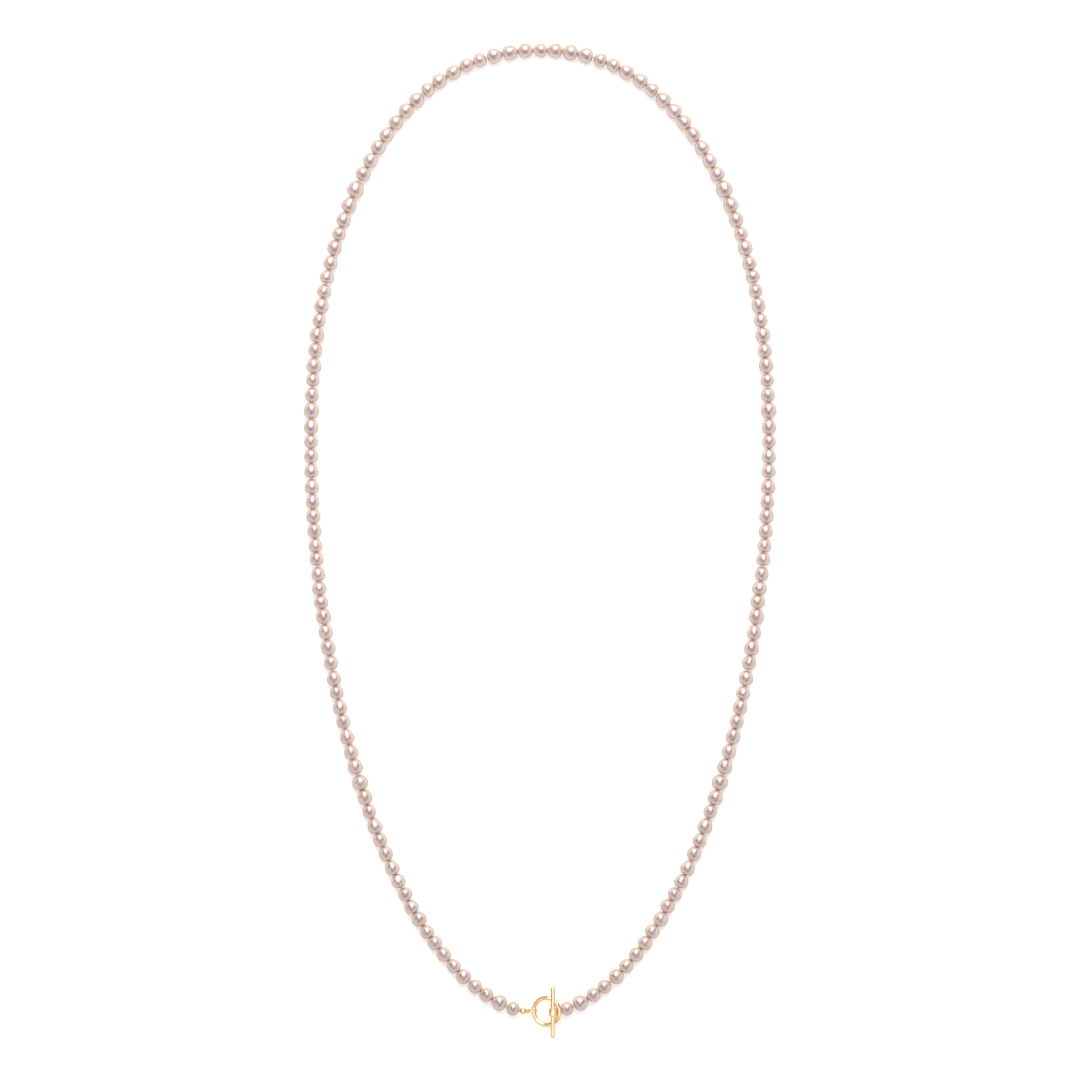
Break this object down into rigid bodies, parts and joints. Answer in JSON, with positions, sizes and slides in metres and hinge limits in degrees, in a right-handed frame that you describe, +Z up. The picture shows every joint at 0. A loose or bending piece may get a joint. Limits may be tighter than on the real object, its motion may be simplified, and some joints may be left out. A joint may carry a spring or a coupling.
{
  "type": "pearl necklace",
  "caption": "Long strand of single pearls on a silk thread, laid flat in a tall loop and closed by a gold toggle ring and bar.",
  "frame": {"origin": "On the surface the necklace lies on, under the middle of its bounding box", "axes": "+X across the loop to the wearer's left seen from above, +Y from the clasp to the nape pearl, +Z up from the surface"},
  "size_m": [0.1736, 0.3644, 0.0077],
  "materials": {
    "pearl": "glossy nacre with a warm pink lustre",
    "silk_thread": "twisted silk",
    "crimp": "soft bright metal",
    "gold": "polished gold plate"
  },
  "bodies": {
    "nape": {"pearls_nape": "pearl", "thread_nape": "silk_thread"},
    "left_1": {"pearls_left_1": "pearl", "thread_left_1": "silk_thread"},
    "left_2": {"pearls_left_2": "pearl", "thread_left_2": "silk_thread"},
    "left_3": {"pearls_left_3": "pearl", "thread_left_3": "silk_thread"},
    "left_4": {"pearls_left_4": "pearl", "thread_left_4": "silk_thread"},
    "left_5": {"pearls_left_5": "pearl", "thread_left_5": "silk_thread"},
    "left_6": {"pearls_left_6": "pearl", "thread_left_6": "silk_thread"},
    "left_7": {"pearls_left_7": "pearl", "thread_left_7": "silk_thread"},
    "left_8": {"pearls_left_8": "pearl", "thread_left_8": "silk_thread"},
    "left_9": {"pearls_left_9": "pearl", "thread_left_9": "silk_thread"},
    "left_10": {"pearls_left_10": "pearl", "thread_left_10": "silk_thread"},
    "left_11": {"pearls_left_11": "pearl", "thread_left_11": "silk_thread", "left_tip_cup": "gold", "left_tip_lid": "gold", "left_tip_crimp": "crimp"},
    "left_end_pearl": {"end_pearl_left": "pearl"},
    "right_1": {"pearls_right_1": "pearl", "thread_right_1": "silk_thread"},
    "right_2": {"pearls_right_2": "pearl", "thread_right_2": "silk_thread"},
    "right_3": {"pearls_right_3": "pearl", "thread_right_3": "silk_thread"},
    "right_4": {"pearls_right_4": "pearl", "thread_right_4": "silk_thread"},
    "right_5": {"pearls_right_5": "pearl", "thread_right_5": "silk_thread"},
    "right_6": {"pearls_right_6": "pearl", "thread_right_6": "silk_thread"},
    "right_7": {"pearls_right_7": "pearl", "thread_right_7": "silk_thread"},
    "right_8": {"pearls_right_8": "pearl", "thread_right_8": "silk_thread"},
    "right_9": {"pearls_right_9": "pearl", "thread_right_9": "silk_thread"},
    "right_10": {"pearls_right_10": "pearl", "thread_right_10": "silk_thread"},
    "right_11": {"pearls_right_11": "pearl", "thread_right_11": "silk_thread", "right_tip_cup": "gold", "right_tip_lid": "gold", "right_tip_crimp": "crimp"},
    "right_end_pearl": {"end_pearl_right": "pearl"},
    "ring_link": {"ring_link": "gold"},
    "ring": {"toggle_ring": "gold"},
    "bar_link": {"bar_link": "gold"},
    "collar": {"bar_collar": "gold"},
    "bar": {"toggle_bar": "gold"}
  },
  "joints": [
    {"name": "left_fold_1", "type": "hinge", "parent": "nape", "child": "left_1", "pos_m": [-0.01956, 0.17695, 0.00285], "axis": [1, 0, 0], "range_deg": [-28, 28]},
    {"name": "left_flex_2", "type": "hinge", "parent": "left_1", "child": "left_2", "pos_m": [-0.04297, 0.1636, 0.00286], "axis": [0, 0, 1], "range_deg": [-18.01, 18.01]},
    {"name": "left_flex_3", "type": "hinge", "parent": "left_2", "child": "left_3", "pos_m": [-0.06611, 0.13167, 0.0031], "axis": [0, 0, 1], "range_deg": [-1.74, 1.74]},
    {"name": "left_flex_4", "type": "hinge", "parent": "left_3", "child": "left_4", "pos_m": [-0.07857, 0.09403, 0.00281], "axis": [0, 0, 1], "range_deg": [-19.74, 19.74]},
    {"name": "left_fold_5", "type": "hinge", "parent": "left_4", "child": "left_5", "pos_m": [-0.08349, 0.05609, 0.00278], "axis": [1, 0, 0], "range_deg": [-28, 28]},
    {"name": "left_fold_6", "type": "hinge", "parent": "left_5", "child": "left_6", "pos_m": [-0.08378, 0.02259, 0.0029], "axis": [1, 0, 0], "range_deg": [-28, 28]},
    {"name": "left_fold_7", "type": "hinge", "parent": "left_6", "child": "left_7", "pos_m": [-0.08164, -0.00963, 0.00282], "axis": [1, 0, 0], "range_deg": [-28, 28]},
    {"name": "left_flex_8", "type": "hinge", "parent": "left_7", "child": "left_8", "pos_m": [-0.07618, -0.04775, 0.00285], "axis": [0, 0, 1], "range_deg": [-1.31, 1.31]},
    {"name": "left_flex_9", "type": "hinge", "parent": "left_8", "child": "left_9", "pos_m": [-0.06697, -0.086, 0.00306], "axis": [0, 0, 1], "range_deg": [-21.88, 21.88]},
    {"name": "left_flex_10", "type": "hinge", "parent": "left_9", "child": "left_10", "pos_m": [-0.05076, -0.12756, 0.00281], "axis": [0, 0, 1], "range_deg": [-5.76, 5.76]},
    {"name": "left_flex_11", "type": "hinge", "parent": "left_10", "child": "left_11", "pos_m": [-0.02593, -0.16204, 0.00284], "axis": [0, 0, 1], "range_deg": [-14.84, 14.84]},
    {"name": "left_end_pearl_spin", "type": "hinge", "parent": "left_11", "child": "left_end_pearl", "pos_m": [-0.00992, -0.17186, 0.00281], "axis": [0.9427, -0.3325, -0.0263], "continuous": true},
    {"name": "right_fold_1", "type": "hinge", "parent": "nape", "child": "right_1", "pos_m": [0.01956, 0.17695, 0.00285], "axis": [1, 0, 0], "range_deg": [-28, 28]},
    {"name": "right_flex_2", "type": "hinge", "parent": "right_1", "child": "right_2", "pos_m": [0.04297, 0.1636, 0.00286], "axis": [0, 0, 1], "range_deg": [-18, 18]},
    {"name": "right_flex_3", "type": "hinge", "parent": "right_2", "child": "right_3", "pos_m": [0.06611, 0.13167, 0.0031], "axis": [0, 0, 1], "range_deg": [-1.74, 1.74]},
    {"name": "right_flex_4", "type": "hinge", "parent": "right_3", "child": "right_4", "pos_m": [0.07857, 0.09403, 0.00281], "axis": [0, 0, 1], "range_deg": [-19.74, 19.74]},
    {"name": "right_fold_5", "type": "hinge", "parent": "right_4", "child": "right_5", "pos_m": [0.08349, 0.05609, 0.00278], "axis": [1, 0, 0], "range_deg": [-28, 28]},
    {"name": "right_fold_6", "type": "hinge", "parent": "right_5", "child": "right_6", "pos_m": [0.08378, 0.02259, 0.0029], "axis": [1, 0, 0], "range_deg": [-28, 28]},
    {"name": "right_fold_7", "type": "hinge", "parent": "right_6", "child": "right_7", "pos_m": [0.08164, -0.00963, 0.00282], "axis": [1, 0, 0], "range_deg": [-28, 28]},
    {"name": "right_flex_8", "type": "hinge", "parent": "right_7", "child": "right_8", "pos_m": [0.07618, -0.04775, 0.00285], "axis": [0, 0, 1], "range_deg": [-1.31, 1.31]},
    {"name": "right_flex_9", "type": "hinge", "parent": "right_8", "child": "right_9", "pos_m": [0.06697, -0.086, 0.00306], "axis": [0, 0, 1], "range_deg": [-21.88, 21.88]},
    {"name": "right_flex_10", "type": "hinge", "parent": "right_9", "child": "right_10", "pos_m": [0.05076, -0.12756, 0.00281], "axis": [0, 0, 1], "range_deg": [-5.76, 5.76]},
    {"name": "right_flex_11", "type": "hinge", "parent": "right_10", "child": "right_11", "pos_m": [0.02593, -0.16204, 0.00284], "axis": [0, 0, 1], "range_deg": [-14.84, 14.84]},
    {"name": "right_end_pearl_spin", "type": "hinge", "parent": "right_11", "child": "right_end_pearl", "pos_m": [0.00992, -0.17186, 0.00281], "axis": [-0.9427, -0.3325, -0.0263], "continuous": true},
    {"name": "ring_link_spin", "type": "hinge", "parent": "left_11", "child": "ring_link", "pos_m": [-0.00289, -0.17272, 0.00213], "axis": [0, 1, 0], "continuous": true},
    {"name": "ring_spin", "type": "hinge", "parent": "left_11", "child": "ring", "pos_m": [0.00238, -0.17272, 0.00374], "axis": [-0.3256, 0, 0.9455], "continuous": true},
    {"name": "bar_link_spin", "type": "hinge", "parent": "right_11", "child": "bar_link", "pos_m": [0.00465, -0.17272, 0.00335], "axis": [1, 0, 0], "continuous": true},
    {"name": "bar_turn", "type": "hinge", "parent": "right_11", "child": "collar", "pos_m": [0.00465, -0.17272, 0.00437], "axis": [-0.3256, 0, 0.9455], "range_deg": [-6, 6]},
    {"name": "bar_spin", "type": "hinge", "parent": "collar", "child": "bar", "pos_m": [0.00471, -0.17272, 0.00627], "axis": [0, 1, 0], "continuous": true}
  ],
  "couplings": [
    {"joint": "left_fold_1", "follows": "right_fold_5", "ratio": 1},
    {"joint": "left_flex_2", "follows": "right_flex_2", "ratio": -1},
    {"joint": "left_flex_3", "follows": "right_flex_2", "ratio": -0.095564},
    {"joint": "left_flex_4", "follows": "right_flex_2", "ratio": 1.0956},
    {"joint": "left_fold_5", "follows": "right_fold_5", "ratio": 1},
    {"joint": "left_fold_6", "follows": "right_fold_5", "ratio": 1},
    {"joint": "left_fold_7", "follows": "right_fold_5", "ratio": 1},
    {"joint": "left_flex_8", "follows": "right_flex_2", "ratio": -0.071809},
    {"joint": "left_flex_9", "follows": "right_flex_2", "ratio": 1.2149},
    {"joint": "left_flex_10", "follows": "right_flex_2", "ratio": -0.31937},
    {"joint": "left_flex_11", "follows": "right_flex_2", "ratio": -0.82375},
    {"joint": "right_fold_1", "follows": "right_fold_5", "ratio": 1},
    {"joint": "right_flex_3", "follows": "right_flex_2", "ratio": 0.095564},
    {"joint": "right_flex_4", "follows": "right_flex_2", "ratio": -1.0956},
    {"joint": "right_fold_6", "follows": "right_fold_5", "ratio": 1},
    {"joint": "right_fold_7", "follows": "right_fold_5", "ratio": 1},
    {"joint": "right_flex_8", "follows": "right_flex_2", "ratio": 0.071809},
    {"joint": "right_flex_9", "follows": "right_flex_2", "ratio": -1.2149},
    {"joint": "right_flex_10", "follows": "right_flex_2", "ratio": 0.31937},
    {"joint": "right_flex_11", "follows": "right_flex_2", "ratio": 0.82375}
  ]
}
